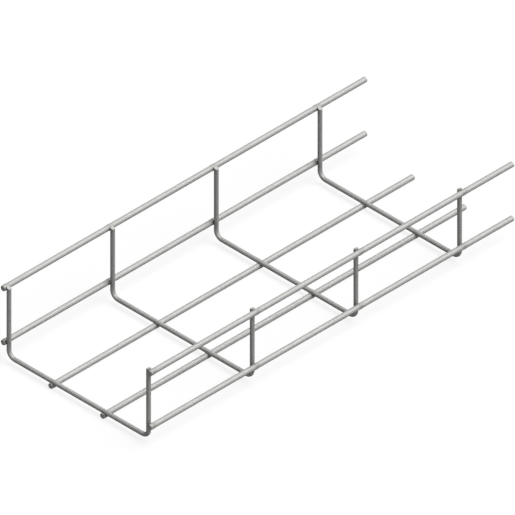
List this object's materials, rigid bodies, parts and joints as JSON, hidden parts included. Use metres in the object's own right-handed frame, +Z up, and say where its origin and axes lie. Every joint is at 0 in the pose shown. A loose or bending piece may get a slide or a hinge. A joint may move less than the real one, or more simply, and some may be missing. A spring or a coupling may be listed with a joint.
{
  "type": "wire mesh cable basket",
  "caption": "Straight open basket of welded round steel wire: U-bent cross wires on long wires make a mesh floor and two low mesh sides that carry cables.",
  "frame": {"origin": "middle of the footprint, on the level that the floor wires rest on", "axes": "+Y along the basket towards the free wire ends, +Z up out of the open top, +X across"},
  "size_m": [0.1458, 0.35, 0.0629],
  "materials": {
    "zinc_plated_wire": "drawn steel wire with a thin satin zinc coat"
  },
  "bodies": {
    "root": {"floor_wire_1": "zinc_plated_wire", "floor_wire_2": "zinc_plated_wire", "low_wire_left": "zinc_plated_wire", "low_wire_right": "zinc_plated_wire", "top_wire_left": "zinc_plated_wire", "top_wire_right": "zinc_plated_wire", "cross_wire_1": "zinc_plated_wire", "cross_wire_2": "zinc_plated_wire", "cross_wire_3": "zinc_plated_wire", "cross_wire_4": "zinc_plated_wire"}
  },
  "joints": []
}
